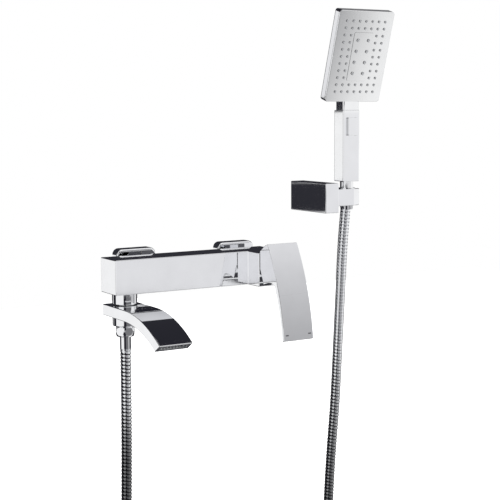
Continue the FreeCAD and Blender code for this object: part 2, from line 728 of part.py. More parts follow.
def make_spout():
    """The spout, its flow straightener, and the column, sleeve, collar, washers and seals it turns on."""
    left_x, right_x = across_x(column_x, spout_width / 2)
    shell = along_x(spout_outline(0, 0, lip_top_deg, lip_under_deg, start_y=column_y + spout_back), left_x,
                    right_x)
    shell = shell.makeFillet(spout_edge_r, shell.Edges)
    hollow = along_x(spout_outline(spout_wall, 0, lip_top_deg + lip_cut_deg, lip_under_deg + lip_cut_deg,
                                   start_y=column_y - hollow_start), left_x + spout_wall, right_x - spout_wall)
    shell = shell.cut(hollow)
    bore_ends = ((column_x, column_y, spout_top_z), (column_x, column_y, spout_under_z))
    parts["spout_shell"] = shell.cut(rod(column_r + column_gap, *bore_ends))

    inset = spout_wall + comb_gap
    comb = along_x(spout_outline(inset, comb_start_deg, comb_top_deg, comb_under_deg), left_x + inset,
                   right_x - inset)
    slot_pitch = (spout_width - 2 * inset) / straightener_slots
    slot_width = slot_pitch - comb_wall
    for index in range(straightener_slots):
        slot_x = left_x + inset + slot_pitch * (index + 0.5)
        slot = spout_outline(inset + comb_rim, comb_slot_start_deg, comb_slot_end_deg, comb_slot_end_deg)
        comb = comb.cut(along_x(slot, *across_x(slot_x, slot_width / 2)))
    parts["flow_straightener"] = comb

    def on_column(z):
        return (column_x, column_y, z)

    thread_top_z = body_under_z + port_depth - 1.0
    thread_end_z = collar_under_z - outlet_thread_length
    column = rod(thread_three_quarter_r - thread_gap, on_column(thread_top_z), on_column(body_under_z))
    column = column.fuse(rod(column_r, on_column(body_under_z), on_column(collar_under_z)))
    column = column.fuse(rod(thread_half_r, on_column(collar_under_z), on_column(thread_end_z)))
    column = column.cut(rod(waterway_r + 0.5, on_column(thread_top_z), on_column(thread_end_z)))
    port_z = (spout_top_z + spout_under_z) / 2
    port_end_y = column_y - column_port_length
    for x in across_x(column_x, column_port_spread):
        column = column.cut(rod(column_port_r, (x, column_y, port_z), (x, port_end_y, port_z)))
    seal_r = column_r - 0.95
    seals = []
    for z in (spout_top_z - spout_wall / 2, spout_under_z + spout_wall / 2):
        seal = Part.makeTorus(seal_r, ring_section_r, Vector(column_x, column_y, z))
        groove = Part.makeTorus(seal_r, ring_section_r + ring_groove_gap, Vector(column_x, column_y, z))
        column = column.cut(groove)
        seals.append(seal)
    parts["outlet_column"] = column
    parts["column_seals"] = Part.makeCompound(seals)

    clear = column_r + thread_gap
    sleeve_under_z = spout_top_z + washer_thickness
    parts["neck_sleeve"] = ring(sleeve_r, clear, on_column(body_under_z), on_column(sleeve_under_z))
    parts["neck_washer"] = ring(sleeve_r - washer_inset, clear, on_column(sleeve_under_z),
                                on_column(spout_top_z))
    parts["collar_washer"] = ring(sleeve_r - washer_inset, clear, on_column(spout_under_z),
                                  on_column(collar_top_z))
    collar = ring(sleeve_r, clear, on_column(collar_top_z), on_column(collar_under_z))
    edge = [e for e in collar.Edges if abs(e.CenterOfMass.z - collar_under_z) < 1e-6 and e.Length > 6.0 * sleeve_r]
    parts["outlet_collar"] = collar.makeFillet(collar_edge_r, edge)

    valve_top_z = collar_under_z + shower_valve_rise
    valve = ring(waterway_r + 0.5 - valve_gap, valve_ring_r, on_column(valve_top_z),
                 on_column(valve_top_z - shower_valve_length))
    plunger_z = valve_top_z - 1.0
    valve = valve.fuse(cone(plunger_tip_r, plunger_r, on_column(plunger_z),
                            on_column(plunger_z - plunger_length)))
    spoke_reach = valve_ring_r + 0.4
    spokes = block(column_x - spoke_reach, column_x + spoke_reach, column_y - spoke_width / 2,
                   column_y + spoke_width / 2, plunger_z - spoke_length, plunger_z - 2 * spoke_length)
    parts["shower_check_valve"] = valve.fuse(spokes).removeSplitter()


def hose_stations(count):
    """Points and directions at even steps along the hose: straight runs joined by the largest arcs."""
    points = [Vector(*p) for p in hose_route]
    pieces = []
    radii = []
    here = points[0]
    for before, corner, after in zip(points, points[1:], points[2:]):
        way_in = (corner - before).normalize()
        way_out = (after - corner).normalize()
        half_turn = way_in.getAngle(way_out) / 2
        setback = 0.45 * min((corner - before).Length, (after - corner).Length)
        radius = setback / math.tan(half_turn)
        start = corner - way_in * setback
        end = corner + way_out * setback
        middle = corner + (way_out - way_in).normalize() * (radius / math.cos(half_turn) - radius)
        pieces.append(Part.LineSegment(here, start))
        pieces.append(Part.Arc(start, middle, end))
        radii.append(radius)
        here = end
    pieces.append(Part.LineSegment(here, points[-1]))
    path = Part.Wire([piece.toShape() for piece in pieces])
    stations = []
    lengths = [edge.Length for edge in path.Edges]
    for index in range(count + 1):
        left = path.Length * index / count
        number = 0
        while number < len(lengths) - 1 and left > lengths[number]:
            left -= lengths[number]
            number += 1
        edge = path.Edges[number]
        at = edge.getParameterByLength(min(left, lengths[number]))
        stations.append((edge.valueAt(at), edge.tangentAt(at).normalize()))
    return path, stations, radii


def make_hose():
    """The ribbed hose with its bore. Every rib is four circles of one ruled loft."""
    steps = hose_ribs * 4
    path, stations, radii = hose_stations(steps)
    print("hose length", round(path.Length, 1), "smallest radius", round(min(radii), 1))
    print("hose radii", [round(radius) for radius in radii])
    steady = Vector(0, 1, 0)
    plain = round(2 * hose_r / path.Length * steps)

    def circle(place, way, radius):
        turned = Part.Circle(place, way, radius)
        turned.XAxis = (steady - way * steady.dot(way)).normalize()
        return Part.Wire(turned.toShape())

    outside = []
    for index, (place, way) in enumerate(stations):
        near_end = index < plain or index > steps - plain
        if near_end and 0 < index < steps:
            continue
        in_valley = index % 4 in (0, 1) and not near_end
        outside.append(circle(place, way, hose_r - rib_depth if in_valley else hose_r))
    inside = [circle(place, way, hose_bore_r) for place, way in stations[::8]]
    tube = Part.makeLoft(outside, True, True).cut(Part.makeLoft(inside, True, True))
    section = math.pi * ((hose_r - rib_depth / 2) ** 2 - hose_bore_r ** 2)
    print("hose volume", round(tube.Volume), "section times length", round(section * path.Length),
          tube.isValid())
    parts["shower_hose"] = tube


def make_hose_ends():
    """The hexagonal nut with its washer, tail and ferrule, and the cone nut at the hand shower."""
    def at_mixer(z):
        return (column_x, column_y, z)

    shoulder_z = hose_nut_under_z + hose_nut_shoulder
    nut = hexagon_nut(hose_nut_flats, at_mixer(hose_nut_under_z), at_mixer(hose_nut_top_z), hose_nut_chamfer,
                      hose_nut_edge_r)
    nut = nut.cut(rod(thread_half_r + thread_gap, at_mixer(shoulder_z), at_mixer(hose_nut_top_z)))
    parts["hose_nut"] = nut.cut(rod(hose_nut_hole_r, at_mixer(hose_nut_under_z), at_mixer(hose_nut_top_z)))
    thread_end_z = collar_under_z - outlet_thread_length
    flange_under_z = shoulder_z + 0.1
    flange_top_z = flange_under_z + hose_tail_flange
    tail_end_z = ferrule_under_z - hose_tail_reach
    parts["hose_washer_mixer"] = ring(
        thread_half_r - washer_inset, hose_washer_bore_r, at_mixer(flange_top_z), at_mixer(thread_end_z))
    tail = rod(thread_half_r - washer_inset, at_mixer(flange_under_z), at_mixer(flange_top_z))
    tail = tail.fuse(rod(hose_bore_r - hose_tail_gap, at_mixer(flange_top_z), at_mixer(tail_end_z)))
    parts["hose_tail_mixer"] = tail.cut(rod(hose_tail_bore_r, at_mixer(flange_top_z), at_mixer(tail_end_z)))
    ferrule_bore_r = hose_bore_r - 0.1
    ferrule = ring(ferrule_r, ferrule_bore_r, at_mixer(hose_nut_under_z), at_mixer(ferrule_under_z))
    collar = ring(hose_nut_hole_r - 0.2, ferrule_bore_r, at_mixer(hose_nut_under_z), at_mixer(shoulder_z))
    parts["hose_ferrule"] = ferrule.fuse(collar).removeSplitter()

    def at_clip(z):
        return (handset_x, handset_y, z)

    straight_z = cone_nut_top_z - cone_nut_straight
    nut = rod(cone_nut_r, at_clip(cone_nut_top_z), at_clip(straight_z))
    nut = nut.fuse(cone(cone_nut_r, cone_nut_end_r, at_clip(straight_z), at_clip(cone_nut_under_z)))
    thread_floor_z = hose_top_z + hose_floor_gap
    nut = nut.cut(rod(thread_half_r + thread_gap, at_clip(cone_nut_top_z), at_clip(thread_floor_z)))
    nut = nut.cut(rod(hose_r + hose_slip, at_clip(thread_floor_z), at_clip(cone_nut_under_z)))
    nut = nut.cut(cone(hose_r + hose_slip, hose_r + cone_nut_mouth_gap,
                       at_clip(cone_nut_under_z + cone_nut_mouth),
                       at_clip(cone_nut_under_z)))
    parts["hose_cone_nut"] = nut.removeSplitter()
    parts["hose_washer_handset"] = ring(
        thread_half_r - washer_inset, hose_washer_bore_r, at_clip(thread_floor_z),
        at_clip(thread_floor_z + hose_washer_thickness))


def make_bracket():
    """The wall bracket: plate, box, grub screw, and the clip on its pivot."""
    left_x, right_x = bracket_left_x, bracket_right_x
    middle_x = (left_x + right_x) / 2
    low_z, high_z = across_x(clip_mid_z, bracket_height / 2)
    box = block(left_x, right_x, -bracket_depth, 0, low_z, high_z)
    box = box.makeFillet(bracket_edge_r, [e for e in box.Edges if e.CenterOfMass.y < -1.0])
    w = bracket_wall
    box = box.cut(block(left_x + w, right_x - w, -bracket_depth + w, 0, low_z + w, high_z - w))
    grub_y = -bracket_grub_reach
    box = box.cut(rod(bracket_grub_r, (middle_x, grub_y, low_z), (middle_x, grub_y, low_z + w)))
    pivot_at = (handset_y, clip_mid_z)
    box = box.cut(rod(pivot_r + running_gap, (right_x - w, *pivot_at), (right_x, *pivot_at)))
    parts["bracket_cover"] = box

    inset = w + plate_gap
    plate_low_z = low_z + inset
    foot_top_z = plate_low_z + plate_foot_height
    plate = block(left_x + inset, right_x - inset, -plate_thickness, 0, plate_low_z, high_z - inset)
    foot_left_x, foot_right_x = across_x(middle_x, plate_foot_width / 2)
    plate = plate.fuse(block(foot_left_x, foot_right_x, -plate_foot_depth, -plate_thickness, plate_low_z,
                             foot_top_z))
    plate = plate.cut(rod(bracket_grub_r, (middle_x, grub_y, low_z), (middle_x, grub_y, foot_top_z)))
    for z in across_x(clip_mid_z, wall_screw_spacing / 2):
        plate = plate.cut(rod(wall_screw_hole_r, (middle_x, -plate_thickness, z), (middle_x, 0, z)))
    parts["bracket_plate"] = plate.removeSplitter()
    grub_low_z = low_z + bracket_grub_recess
    grub = rod(bracket_grub_r - grub_gap, (middle_x, grub_y, grub_low_z), (middle_x, grub_y, foot_top_z))
    key = rod(bracket_grub_key_r, (middle_x, grub_y, grub_low_z),
              (middle_x, grub_y, grub_low_z + bracket_grub_key_depth))
    parts["bracket_grub_screw"] = grub.cut(key)

    pivot_head_x = right_x - w - spring_washer_thickness
    thread_end_x = clip_left_x + pivot_screw_depth
    bolt = rod(pivot_r, (pivot_head_x, *pivot_at), (thread_end_x, *pivot_at))
    bolt = bolt.fuse(hexagon_head(pivot_head_x - pivot_head_height, pivot_head_x, pivot_head_flats, pivot_at))
    parts["clip_pivot_bolt"] = bolt.removeSplitter()
    bore_r = pivot_r + running_gap
    parts["clip_spring_washer"] = ring(spring_washer_r, bore_r, (pivot_head_x, *pivot_at),
                                       (right_x - w, *pivot_at))
    parts["clip_friction_washer"] = ring(friction_washer_r, bore_r, (right_x, *pivot_at),
                                         (clip_left_x, *pivot_at))

    low_z, high_z = across_x(clip_mid_z, clip_height / 2)
    near_y, far_y = across_x(handset_y, clip_half_depth)
    clip = block(clip_left_x, handset_x, near_y, far_y, low_z, high_z)
    clip = clip.fuse(rod(clip_half_depth, (handset_x, handset_y, low_z),
                         (handset_x, handset_y, high_z))).removeSplitter()
    clip = clip.makeFillet(clip_edge_r, clip.Edges)
    nut_straight_z = cone_nut_top_z - cone_nut_straight
    slope = (cone_nut_r - cone_nut_end_r) / (nut_straight_z - cone_nut_under_z)
    low_r = cone_nut_end_r + slope * (low_z - cone_nut_under_z) + clip_seat_gap
    seat_r = cone_nut_r + clip_seat_gap
    clip = clip.cut(cone(seat_r, low_r, (handset_x, handset_y, nut_straight_z), (handset_x, handset_y, low_z)))
    clip = clip.cut(rod(seat_r, (handset_x, handset_y, high_z), (handset_x, handset_y, nut_straight_z)))
    half_slot = clip_slot / 2
    clip = clip.cut(block(handset_x, handset_x + clip_half_depth + 5, handset_y - half_slot,
                          handset_y + half_slot,
                          low_z, high_z))
    parts["hand_shower_clip"] = clip.cut(rod(pivot_r, (clip_left_x, *pivot_at), (thread_end_x, *pivot_at)))


def hexagon_head(x0, x1, flats, middle):
    corners = []
    for step in range(7):
        angle = math.radians(60 * step)
        r = flats / math.sqrt(3)
        corners.append(Vector(x0, middle[0] + r * math.cos(angle), middle[1] + r * math.sin(angle)))
    return Part.Face(Part.makePolygon(corners)).extrude(Vector(x1 - x0, 0, 0))


def head_place(shape):
    """Turns a shape drawn on the head's own plane into place.

    In that plane X is the width, Z runs up the face from its lower edge, and Y is 0 at the face and
    positive behind it."""
    shape.rotate(Vector(0, 0, 0), Vector(1, 0, 0), head_tilt_deg)
    shape.translate(Vector(handset_x, handset_y - head_face_forward, head_base_z))
    return shape


def make_handset():
    """The hand shower's handle, water tube, button with its spring and seat, and the head."""
    up = Vector(0, 0, 1)
    half_w, half_d = handle_width / 2, handle_depth / 2
    front_y = handset_y - half_d
    base_z = handle_under_z
    top_z = handle_top_z
    w = handle_wall

    handle = rounded_block(handset_x - half_w, handset_x + half_w, front_y, handset_y + half_d, base_z, top_z,
                           up,
                           handle_corner_r)
    rim = [e for e in handle.Edges if abs(e.CenterOfMass.z - base_z) < 1e-6 or abs(e.CenterOfMass.z - top_z) < 1e-6]
    handle = handle.makeFillet(handle_edge_r, rim)
    bore = rounded_block(handset_x - half_w + w, handset_x + half_w - w, front_y + w, handset_y + half_d - w,
                         base_z + handle_end_wall, top_z - handle_end_wall, up, handle_corner_r - 1.0)
    handle = handle.cut(bore)
    tube_at = (handset_x, handset_y + water_tube_back)
    for z in (base_z, top_z - handle_end_wall):
        handle = handle.cut(rod(water_tube_r + water_tube_gap, (*tube_at, z), (*tube_at, z + handle_end_wall)))

    button_low_z = base_z + button_base
    button_left_x, button_right_x = across_x(handset_x, button_width / 2)
    g = button_gap
    handle = handle.cut(block(button_left_x - g, button_right_x + g, front_y, front_y + w,
                              button_low_z - g, button_low_z + button_height + g))
    parts["handset_handle"] = handle

    tube_top_z = top_z + water_tube_end
    collar_low_z = cone_nut_top_z + handset_thread_gap
    tube = rod(water_tube_r, (*tube_at, base_z - 0.4), (*tube_at, tube_top_z))
    collar = rod(handle_neck_r, (handset_x, handset_y, collar_low_z), (handset_x, handset_y, base_z))
    washer_top_z = hose_top_z + hose_floor_gap + hose_washer_thickness
    thread = rod(thread_half_r, (handset_x, handset_y, washer_top_z), (handset_x, handset_y, collar_low_z))
    tube = tube.fuse(collar).fuse(thread)
    tube = tube.cut(rod(handset_bore_r, (handset_x, handset_y, washer_top_z),
                        (handset_x, handset_y, base_z - 2.0)))
    tube_bore_r = water_tube_r - water_tube_wall
    tube = tube.cut(rod(tube_bore_r, (*tube_at, base_z - 4.0), (*tube_at, tube_top_z)))
    parts["handset_water_tube"] = tube.removeSplitter()

    back_y = front_y + w
    button = rounded_block(button_left_x, button_right_x, front_y - button_proud, back_y + 0.5,
                           button_low_z, button_low_z + button_height, Vector(0, 1, 0), button_corner_r)
    button_rim = [e for e in button.Edges if abs(e.CenterOfMass.y - front_y + button_proud) < 1e-6]
    button = button.makeFillet(button_edge_r, button_rim)
    f = button_flange
    flange_back_y = back_y + button_gap / 2 + button_flange_thickness
    flange = block(button_left_x - f, button_right_x + f, flange_back_y - button_flange_thickness,
                   flange_back_y,
                   button_low_z - f, button_low_z + button_height + f)
    parts["spray_button"] = button.fuse(flange).removeSplitter()
    button_mid_z = button_low_z + button_height / 2
    spring_back_y = handset_y + water_tube_back - water_tube_r - 0.8
    parts["button_spring"] = ring(
        spring_r, spring_bore_r, (handset_x, flange_back_y, button_mid_z),
        (handset_x, spring_back_y, button_mid_z))
    seat_left_x, seat_right_x = across_x(handset_x, spring_seat_width / 2)
    seat = block(seat_left_x, seat_right_x, spring_back_y, spring_back_y + spring_seat_thickness,
                 *across_x(button_mid_z, spring_seat_height / 2))
    parts["spring_seat"] = seat.cut(rod(water_tube_r, (*tube_at, base_z), (*tube_at, top_z)))

    make_head(tube_at, tube_bore_r)


def head_box(width, height, y0, y1, corner_r, low_z=None):
    """A block on the head's plane with its four corners rounded, in the middle of the face."""
    if low_z is None:
        low_z = (head_height - height) / 2
    solid = Part.makeBox(width, y1 - y0, height, Vector(-width / 2, y0, low_z))
    return solid.makeFillet(corner_r, edges_along(solid, Vector(0, 1, 0)))


def make_head(tube_at, tube_bore_r):
    """The hand shower's head: shell with its neck, face plate, centre panel, and the mat with its nozzles."""
    up = Vector(0, 0, 1)
    neck_left_x, neck_right_x = across_x(handset_x, neck_width / 2)
    neck_front_y = handset_y - handle_depth / 2 + neck_front_gap
    neck = rounded_block(neck_left_x, neck_right_x, neck_front_y, neck_front_y + neck_depth,
                         handle_top_z, head_base_z + neck_into_head, up, neck_corner_r)

    shell_front = face_thickness + face_groove
    back = head_box(head_width, head_height, shell_front, head_thickness, head_corner_r)
    back_rim = [e for e in back.Edges if abs(e.CenterOfMass.y - head_thickness) < 1e-6]
    back = head_place(back.makeFillet(head_back_r, back_rim))
    in_front = Part.makeBox(head_width * 2, 60, head_height * 2,
                            Vector(-head_width, shell_front - 60, -2 * face_gap))
    back = back.fuse(neck.cut(head_place(in_front))).removeSplitter()
    rim_w, rim_h = head_width - 2 * face_rim, head_height - 2 * face_rim
    hollow = head_box(rim_w, rim_h, shell_front, head_thickness - head_wall, head_corner_r - 2.0)
    back = back.cut(head_place(hollow))
    back = back.cut(rod(tube_bore_r, (*tube_at, handle_top_z), (*tube_at, head_base_z + 12.0)))
    tube_socket_z = handle_top_z + water_tube_end + water_tube_gap
    parts["head_back_shell"] = back.cut(
        rod(water_tube_r + water_tube_gap, (*tube_at, handle_top_z), (*tube_at, tube_socket_z)))

    plate = head_box(head_width, head_height, 0.0, face_thickness, head_corner_r)
    front_rim = [e for e in plate.Edges if abs(e.CenterOfMass.y) < 1e-6]
    plate = plate.makeFillet(face_edge_r, front_rim)
    mat_front = face_thickness + face_spigot
    spigot_w, spigot_h = rim_w - 2 * face_gap, rim_h - 2 * face_gap
    plate = plate.fuse(head_box(spigot_w, spigot_h, face_thickness, mat_front, head_corner_r - 2.0 - face_gap))
    panel = head_box(panel_width, panel_height, -panel_rise, mat_front, panel_corner_r)
    plate = plate.cut(head_box(panel_width + 2 * panel_gap, panel_height + 2 * panel_gap, -1.0, mat_front,
                               panel_corner_r + panel_gap))
    panel_mid_z = head_height / 2

    nozzles = []
    bores = []

    def add_nozzle(panel, x, z, front, radius):
        """Adds a nozzle at a place on the face, and returns the panel with its hole."""
        nozzles.append(cone(radius * nozzle_taper, radius, (x, front - nozzle_height, z), (x, front, z)))
        nozzles.append(rod(radius, (x, front, z), (x, mat_front + 0.1, z)))
        bores.append(rod(nozzle_bore_r, (x, front - nozzle_height, z), (x, mat_front + mat_thickness, z)))
        ring_hole = rod(radius + nozzle_recess, (x, -nozzle_height, z), (x, front + nozzle_recess_depth, z))
        return panel.cut(ring_hole).cut(rod(radius + nozzle_gap, (x, front, z), (x, mat_front, z)))

    for row in range(11):
        z = panel_mid_z + (row - 5) * nozzle_pitch_z
        for column in range(-3, 4):
            beside_panel = not 2 <= row <= 8 or abs(column) >= 2
            if beside_panel:
                plate = add_nozzle(plate, column * nozzle_pitch_x, z, 0.0, nozzle_r)
    for row in range(4):
        z = panel_mid_z + (row - 1.5) * centre_pitch_z
        for side in (-1, 1):
            panel = add_nozzle(panel, side * centre_pitch_x / 2, z, -panel_rise, centre_nozzle_r)
    mat = head_box(spigot_w - 2 * mat_inset, spigot_h - 2 * mat_inset, mat_front, mat_front + mat_thickness,
                   head_corner_r - 2.6)
    mat = mat.fuse(nozzles)
    mat = mat.cut(bores)
    parts["face_plate"] = head_place(plate)
    parts["centre_panel"] = head_place(panel)
    parts["nozzle_mat"] = head_place(mat.removeSplitter())


make_unions()
make_body()
make_cartridge()
make_lever()
make_spout()
make_hose()
make_hose_ends()
make_bracket()
make_handset()

os.makedirs("parts", exist_ok=True)
for name, shape in parts.items():
    shape.exportStep("parts/" + name + ".step")
print(len(parts), "nodes")
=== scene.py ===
import math

import bpy
from mathutils import Matrix, Vector


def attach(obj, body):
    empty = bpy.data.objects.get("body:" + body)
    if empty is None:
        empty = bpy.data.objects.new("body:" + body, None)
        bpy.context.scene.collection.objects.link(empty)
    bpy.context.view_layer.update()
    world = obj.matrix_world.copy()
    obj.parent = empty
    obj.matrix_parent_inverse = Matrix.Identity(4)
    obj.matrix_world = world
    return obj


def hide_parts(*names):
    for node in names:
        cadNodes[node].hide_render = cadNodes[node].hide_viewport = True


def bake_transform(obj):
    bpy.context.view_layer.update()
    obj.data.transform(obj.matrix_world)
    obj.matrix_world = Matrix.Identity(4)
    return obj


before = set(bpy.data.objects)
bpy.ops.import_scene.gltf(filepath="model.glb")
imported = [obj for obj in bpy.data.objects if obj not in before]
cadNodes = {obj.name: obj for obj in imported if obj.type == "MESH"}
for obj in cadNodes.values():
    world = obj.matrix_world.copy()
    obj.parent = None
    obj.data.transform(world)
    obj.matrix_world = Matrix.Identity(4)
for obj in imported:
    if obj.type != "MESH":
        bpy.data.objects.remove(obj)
bpy.context.view_layer.update()
scene = bpy.context.scene
print("frame loaded:", len(cadNodes), "parts")


# The camera, fitted to the two wall connections, the body and the hand shower

cameraView = {
    "place": (-0.78127, -1.47745, 0.21703),
    "yaw": 30.98,      # degrees from straight ahead towards the right
    "pitch": -6.43,    # looking slightly down
    "roll": -0.30,
    "lens": 90.19,
}


def makeCamera(view):
    yaw, pitch, roll = (math.radians(view[key]) for key in ("yaw", "pitch", "roll"))
    forward = Vector((math.sin(yaw) * math.cos(pitch), math.cos(yaw) * math.cos(pitch), math.sin(pitch)))
    level = Vector((math.cos(yaw), -math.sin(yaw), 0))
    lift = level.cross(forward)
    right = level * math.cos(roll) + lift * math.sin(roll)
    up = lift * math.cos(roll) - level * math.sin(roll)
    turned = Matrix((right, up, -forward)).transposed().to_4x4()
    data = bpy.data.cameras.new("camera")
    data.lens = view["lens"]
    data.sensor_width = 36
    data.clip_start, data.clip_end = 0.05, 60
    camera = bpy.data.objects.new("camera", data)
    scene.collection.objects.link(camera)
    camera.matrix_world = Matrix.Translation(view["place"]) @ turned
    scene.camera = camera


makeCamera(cameraView)
print("camera placed")


# Small helpers for meshes and node trees

def meshObject(name, points, faces, smooth=True):
    mesh = bpy.data.meshes.new(name)
    mesh.from_pydata(points, [], faces)
    mesh.update()
    if smooth:
        mesh.polygons.foreach_set("use_smooth", [True] * len(mesh.polygons))
    made = bpy.data.objects.new(name, mesh)
    scene.collection.objects.link(made)
    return made


def setPointValue(made, name, values):
    layer = made.data.attributes.new(name, "FLOAT", "POINT")
    layer.data.foreach_set("value", values)


def wire(tree, source, output, target, socket):
    tree.links.new(source.outputs[output], target.inputs[socket])


def feed(tree, value, socket):
    # A socket takes a plain value, or the output of another node
    if isinstance(value, (int, float, tuple)):
        socket.default_value = value
    else:
        tree.links.new(value, socket)


def mathNode(tree, operation, first, second=None):
    node = tree.nodes.new("ShaderNodeMath")
    node.operation = operation
    feed(tree, first, node.inputs[0])
    if second is not None:
        feed(tree, second, node.inputs[1])
    return node.outputs[0]


def rangeNode(tree, value, fromLow, fromHigh, toLow, toHigh, smooth=False):
    node = tree.nodes.new("ShaderNodeMapRange")
    node.interpolation_type = "SMOOTHSTEP" if smooth else "LINEAR"
    tree.links.new(value, node.inputs["Value"])
    ends = {"From Min": fromLow, "From Max": fromHigh, "To Min": toLow, "To Max": toHigh}
    for key, setting in ends.items():
        feed(tree, setting, node.inputs[key])
    return node.outputs["Result"]


def noiseNode(tree, scale, detail, roughness=0.5):
    node = tree.nodes.new("ShaderNodeTexNoise")
    node.inputs["Detail"].default_value = detail
    node.inputs["Roughness"].default_value = roughness
    tree.links.new(tree.nodes.new("ShaderNodeTexCoord").outputs["Object"], node.inputs["Vector"])
    feed(tree, scale, node.inputs["Scale"])
    return node.outputs["Fac"]


def mixNode(tree, factor, first, second, kind="MIX"):
    node = tree.nodes.new("ShaderNodeMix")
    node.data_type = "RGBA"
    node.blend_type = kind
    for key, value in (("Factor", factor), ("A", first), ("B", second)):
        feed(tree, value, node.inputs[key])
    return node.outputs["Result"]


def bumpNode(tree, height, distance, strength=1.0):
    node = tree.nodes.new("ShaderNodeBump")
    node.inputs["Strength"].default_value = strength
    tree.links.new(height, node.inputs["Height"])
    feed(tree, distance, node.inputs["Distance"])
    return node.outputs["Normal"]


def attributeNode(tree, name):
    node = tree.nodes.new("ShaderNodeAttribute")
    node.attribute_name = name
    return node.outputs["Fac"]


def newGroup(name, inputs, outputs):
    tree = bpy.data.node_groups.new(name, "ShaderNodeTree")
    for title, kind, value in inputs:
        socket = tree.interface.new_socket(title, in_out="INPUT", socket_type=kind)
        socket.default_value = value
    for title, kind in outputs:
        tree.interface.new_socket(title, in_out="OUTPUT", socket_type=kind)
    return tree, tree.nodes.new("NodeGroupInput"), tree.nodes.new("NodeGroupOutput")


def placeGroup(tree, group, **settings):
    node = tree.nodes.new("ShaderNodeGroup")
    node.node_tree = group
    for title, value in settings.items():
        node.inputs[title].default_value = value
    return node


# Effects that several finishes share

effects = {
    "filmScale": 38.0,        # a thin film on polished metal
    "filmDarkest": 0.965,
    "mottleScale": 45.0,      # slow change of shade in moulded plastic
    "tarnishScale": 90.0,     # clouds on turned metal
    "turningHeight": 0.00002,
    "turningStrength": 0.5,
}


def makePolishGroup():
    tree, given, result = newGroup(
        "polishHaze",
        [("color", "NodeSocketColor", (0.9, 0.9, 0.9, 1)), ("hazeLow", "NodeSocketFloat", 0.03),
         ("hazeHigh", "NodeSocketFloat", 0.06), ("hazeScale", "NodeSocketFloat", 60.0),
         ("waveScale", "NodeSocketFloat", 25.0), ("waveHeight", "NodeSocketFloat", 0.00001)],
        [("color", "NodeSocketColor"), ("roughness", "NodeSocketFloat"), ("normal", "NodeSocketVector")])
    haze = noiseNode(tree, given.outputs["hazeScale"], 4.0, 0.6)
    rough = rangeNode(tree, haze, 0.3, 0.7, given.outputs["hazeLow"], given.outputs["hazeHigh"])
    tree.links.new(rough, result.inputs["roughness"])
    film = rangeNode(tree, noiseNode(tree, effects["filmScale"], 2.0), 0.35, 0.7, 1.0, effects["filmDarkest"])
    dimmed = mixNode(tree, 1.0, given.outputs["color"], film, "MULTIPLY")
    tree.links.new(dimmed, result.inputs["color"])
    waves = noiseNode(tree, given.outputs["waveScale"], 1.0)
    tree.links.new(bumpNode(tree, waves, given.outputs["waveHeight"]), result.inputs["normal"])
    return tree


def makeGrainGroup():
    tree, given, result = newGroup(
        "mouldGrain",
        [("color", "NodeSocketColor", (0.8, 0.8, 0.8, 1)), ("spread", "NodeSocketFloat", 0.06),
         ("grainScale", "NodeSocketFloat", 900.0), ("grainHeight", "NodeSocketFloat", 0.00001),
         ("roughLow", "NodeSocketFloat", 0.3), ("roughHigh", "NodeSocketFloat", 0.4)],
        [("color", "NodeSocketColor"), ("roughness", "NodeSocketFloat"), ("normal", "NodeSocketVector")])
    mottle = mathNode(tree, "SUBTRACT", noiseNode(tree, effects["mottleScale"], 4.0), 0.5)
    light = mathNode(tree, "ADD", 1.0, mathNode(tree, "MULTIPLY", mottle, given.outputs["spread"]))
    shaded = mixNode(tree, 1.0, given.outputs["color"], light, "MULTIPLY")
    tree.links.new(shaded, result.inputs["color"])
    grain = noiseNode(tree, given.outputs["grainScale"], 2.0)
    rough = rangeNode(tree, grain, 0.25, 0.75, given.outputs["roughLow"], given.outputs["roughHigh"])
    tree.links.new(rough, result.inputs["roughness"])
    tree.links.new(bumpNode(tree, grain, given.outputs["grainHeight"]), result.inputs["normal"])
    return tree


def makeTurnedGroup():
    tree, given, result = newGroup(
        "turnedMetal",
        [("color", "NodeSocketColor", (0.8, 0.6, 0.3, 1)),
         ("tarnish", "NodeSocketColor", (0.5, 0.3, 0.15, 1)),
         ("tarnishShare", "NodeSocketFloat", 0.35), ("grooveScale", "NodeSocketFloat", 1500.0),
         ("roughLow", "NodeSocketFloat", 0.22), ("roughHigh", "NodeSocketFloat", 0.4)],
        [("color", "NodeSocketColor"), ("roughness", "NodeSocketFloat"), ("normal", "NodeSocketVector")])
    cloud = noiseNode(tree, effects["tarnishScale"], 5.0, 0.62)
    stain = rangeNode(tree, cloud, 0.42, 0.7, 0.0, 1.0, True)
    share = mathNode(tree, "MULTIPLY", stain, given.outputs["tarnishShare"])
    stained = mixNode(tree, share, given.outputs["color"], given.outputs["tarnish"])
    tree.links.new(stained, result.inputs["color"])
    rough = rangeNode(tree, cloud, 0.3, 0.7, given.outputs["roughLow"], given.outputs["roughHigh"])
    tree.links.new(rough, result.inputs["roughness"])
    turning = noiseNode(tree, given.outputs["grooveScale"], 1.0)
    normal = bumpNode(tree, turning, effects["turningHeight"], effects["turningStrength"])
    tree.links.new(normal, result.inputs["normal"])
    return tree


polishHaze = makePolishGroup()
mouldGrain = makeGrainGroup()
turnedMetal = makeTurnedGroup()


# Finishes

def startMaterial(name, group, groupSettings, shaderSettings):
    made = bpy.data.materials.new(name)
    made.use_nodes = True
    tree = made.node_tree
    shader = tree.nodes["Principled BSDF"]
    effect = placeGroup(tree, group, **groupSettings)
    wire(tree, effect, "color", shader, "Base Color")
    wire(tree, effect, "roughness", shader, "Roughness")
    wire(tree, effect, "normal", shader, "Normal")
    for title, value in shaderSettings.items():
        shader.inputs[title].default_value = value
    return made


